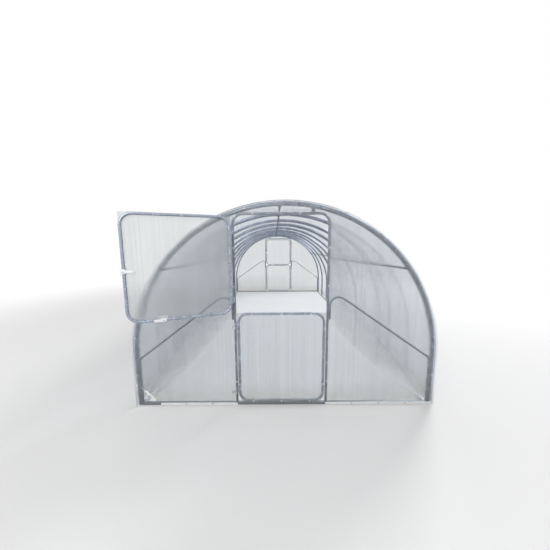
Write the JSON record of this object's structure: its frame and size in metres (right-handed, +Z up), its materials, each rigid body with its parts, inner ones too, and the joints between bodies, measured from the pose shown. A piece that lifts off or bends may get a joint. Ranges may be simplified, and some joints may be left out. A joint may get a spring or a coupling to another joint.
{
  "type": "polycarbonate greenhouse",
  "caption": "Walk-in tunnel greenhouse of bent steel arches and twin-wall sheets, with a two-leaf stable door in each gable end.",
  "frame": {"origin": "middle of the underside of the front base rail, on the ground", "axes": "+X to the right seen from outside the front, +Y into the house along its length, +Z up"},
  "size_m": [3.0646, 6.4066, 2.0621],
  "materials": {
    "galvanised_steel": "dull zinc",
    "zinc_steel": "satin",
    "polycarbonate": "fluted clear",
    "white_plastic": "moulded"
  },
  "bodies": {
    "house": {"arch_01": "galvanised_steel", "arch_02": "galvanised_steel", "arch_03": "galvanised_steel", "arch_04": "galvanised_steel", "arch_05": "galvanised_steel", "arch_06": "galvanised_steel", "arch_07": "galvanised_steel", "arch_08": "galvanised_steel", "arch_09": "galvanised_steel", "arch_10": "galvanised_steel", "back_base_rail": "galvanised_steel", "back_brace_left": "galvanised_steel", "back_brace_right": "galvanised_steel", "back_door_frame": "galvanised_steel", "back_hinges": "zinc_steel", "back_panel_left": "polycarbonate", "back_panel_over_door": "polycarbonate", "back_panel_right": "polycarbonate", "front_base_rail": "galvanised_steel", "front_brace_left": "galvanised_steel", "front_brace_right": "galvanised_steel", "front_door_frame": "galvanised_steel", "front_hinges": "zinc_steel", "front_panel_left": "polycarbonate", "front_panel_over_door": "polycarbonate", "front_panel_right": "polycarbonate", "purlin_clips": "zinc_steel", "ridge_purlin": "galvanised_steel", "roof_sheet_back": "polycarbonate", "roof_sheet_front": "polycarbonate", "roof_sheet_middle": "polycarbonate", "side_base_rail_left": "galvanised_steel", "side_base_rail_right": "galvanised_steel", "side_purlin_left": "galvanised_steel", "side_purlin_right": "galvanised_steel"},
    "front_upper_door": {"front_upper_leaf_frame": "galvanised_steel", "front_upper_leaf_latches": "white_plastic", "front_upper_leaf_sheet": "polycarbonate"},
    "front_lower_door": {"front_lower_leaf_frame": "galvanised_steel", "front_lower_leaf_sheet": "polycarbonate"},
    "back_upper_door": {"back_upper_leaf_frame": "galvanised_steel", "back_upper_leaf_latches": "white_plastic", "back_upper_leaf_sheet": "polycarbonate"},
    "back_lower_door": {"back_lower_leaf_frame": "galvanised_steel", "back_lower_leaf_sheet": "polycarbonate"}
  },
  "joints": [
    {"name": "front_upper_hinge", "type": "hinge", "parent": "house", "child": "front_upper_door", "pos_m": [-0.492, -0.033, 1.4], "axis": [0, 0, 1], "range_deg": [-8, 160]},
    {"name": "front_lower_hinge", "type": "hinge", "parent": "house", "child": "front_lower_door", "pos_m": [-0.492, -0.033, 0.5], "axis": [0, 0, 1], "range_deg": [-168, 0]},
    {"name": "back_upper_hinge", "type": "hinge", "parent": "house", "child": "back_upper_door", "pos_m": [0.492, 6.008, 1.4], "axis": [0, 0, 1], "range_deg": [-168, 0]},
    {"name": "back_lower_hinge", "type": "hinge", "parent": "house", "child": "back_lower_door", "pos_m": [0.492, 6.008, 0.5], "axis": [0, 0, 1], "range_deg": [-168, 0]}
  ]
}
